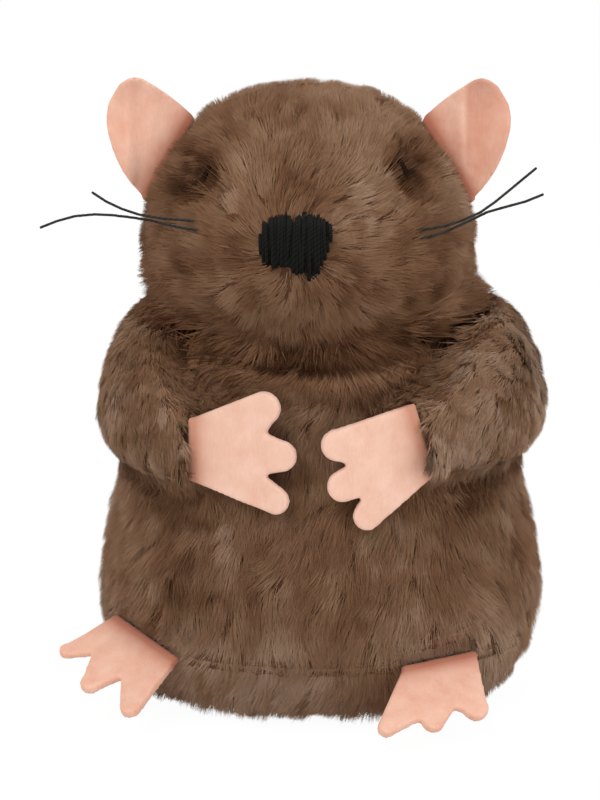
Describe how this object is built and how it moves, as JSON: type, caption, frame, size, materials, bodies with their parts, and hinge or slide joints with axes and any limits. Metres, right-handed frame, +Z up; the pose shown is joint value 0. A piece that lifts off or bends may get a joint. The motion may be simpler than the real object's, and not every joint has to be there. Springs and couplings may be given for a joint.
{
  "type": "mole cat toy",
  "caption": "Small stuffed plush mole that sits on a flat base, with felt ears, hands and feet that bend at their seams, sleeved arms, thread whiskers and a stitched nose.",
  "frame": {"origin": "middle of the flat face that the toy sits on", "axes": "+Z up, the face looks along -Y, the toy's own left side is +X"},
  "size_m": [0.0647, 0.0537, 0.0807],
  "materials": {
    "plush": "matte long pile",
    "ear_and_foot_felt": "matte felt",
    "hand_felt": "matte felt",
    "black_thread": "satin embroidery thread",
    "whisker_thread": "waxed thread",
    "brown_thread": "matte sewing thread",
    "wadding": "loose fibre",
    "pouch_cloth": "matte nonwoven",
    "catnip": "dry leaf crumbs"
  },
  "bodies": {
    "torso": {"base_cover": "plush", "belly_cover": "plush", "back_cover_left": "plush", "back_cover_right": "plush", "closing_thread": "brown_thread", "lower_stuffing": "wadding", "upper_stuffing": "wadding", "catnip_pouch_lower_sheet": "pouch_cloth", "catnip_pouch_upper_sheet": "pouch_cloth", "catnip_filling": "catnip"},
    "neck": {"neck_gathering_thread": "brown_thread"},
    "head": {"face_cover": "plush", "head_back_cover": "plush", "head_stuffing": "wadding", "nose_embroidery": "black_thread", "right_eye_stitch": "black_thread", "left_eye_stitch": "black_thread", "eye_tie_thread": "black_thread", "upper_whisker_thread": "whisker_thread", "lower_whisker_thread": "whisker_thread"},
    "right_ear_flap": {"right_ear": "ear_and_foot_felt"},
    "left_ear_flap": {"left_ear": "ear_and_foot_felt"},
    "right_arm": {"right_arm_outer_cover": "plush", "right_arm_inner_cover": "plush", "right_arm_stuffing": "wadding"},
    "left_arm": {"left_arm_outer_cover": "plush", "left_arm_inner_cover": "plush", "left_arm_stuffing": "wadding"},
    "right_hand_flap": {"right_hand": "hand_felt"},
    "left_hand_flap": {"left_hand": "hand_felt"},
    "right_foot_flap": {"right_foot": "ear_and_foot_felt"},
    "left_foot_flap": {"left_foot": "ear_and_foot_felt"}
  },
  "joints": [
    {"name": "head_turn", "type": "hinge", "parent": "torso", "child": "neck", "pos_m": [-0.0016, -0.001, 0.052], "axis": [0, 0, 1], "range_deg": [-20, 20], "stiffness_Nm_per_rad": 0.03},
    {"name": "head_nod", "type": "hinge", "parent": "neck", "child": "head", "pos_m": [-0.0016, -0.001, 0.052], "axis": [0.9994, -0.0349, 0], "range_deg": [-8, 5], "stiffness_Nm_per_rad": 0.03},
    {"name": "right_ear_fold", "type": "hinge", "parent": "head", "child": "right_ear_flap", "pos_m": [-0.01949, -0.00038, 0.0699], "axis": [0.5066, -0.0177, 0.862], "range_deg": [-22, 35], "stiffness_Nm_per_rad": 0.001},
    {"name": "left_ear_fold", "type": "hinge", "parent": "head", "child": "left_ear_flap", "pos_m": [0.01629, -0.00162, 0.0699], "axis": [0.5066, -0.0177, -0.862], "range_deg": [-22, 35], "stiffness_Nm_per_rad": 0.001},
    {"name": "right_arm_lift", "type": "hinge", "parent": "torso", "child": "right_arm", "pos_m": [-0.02136, 0.00149, 0.04406], "axis": [-0.3039, 0.0335, -0.9521], "range_deg": [0, 50], "stiffness_Nm_per_rad": 0.005},
    {"name": "left_arm_lift", "type": "hinge", "parent": "torso", "child": "left_arm", "pos_m": [0.02221, 0.00158, 0.04433], "axis": [-0.3039, -0.0335, 0.9521], "range_deg": [0, 50], "stiffness_Nm_per_rad": 0.005},
    {"name": "right_hand_fold", "type": "hinge", "parent": "right_arm", "child": "right_hand_flap", "pos_m": [-0.01594, -0.02091, 0.03659], "axis": [0, 0, -1], "range_deg": [-4, 45], "stiffness_Nm_per_rad": 0.001},
    {"name": "left_hand_fold", "type": "hinge", "parent": "left_arm", "child": "left_hand_flap", "pos_m": [0.01228, -0.02336, 0.03828], "axis": [-0.286, -0.0608, 0.9563], "range_deg": [-4, 45], "stiffness_Nm_per_rad": 0.001},
    {"name": "right_foot_fold", "type": "hinge", "parent": "torso", "child": "right_foot_flap", "pos_m": [-0.02242, -0.01358, 0.01], "axis": [-0.6447, 0.7251, 0.2419], "range_deg": [0, 40], "stiffness_Nm_per_rad": 0.001},
    {"name": "left_foot_fold", "type": "hinge", "parent": "torso", "child": "left_foot_flap", "pos_m": [0.01491, -0.01907, 0.0086], "axis": [-0.8819, -0.4685, -0.0523], "range_deg": [0, 40], "stiffness_Nm_per_rad": 0.001}
  ]
}
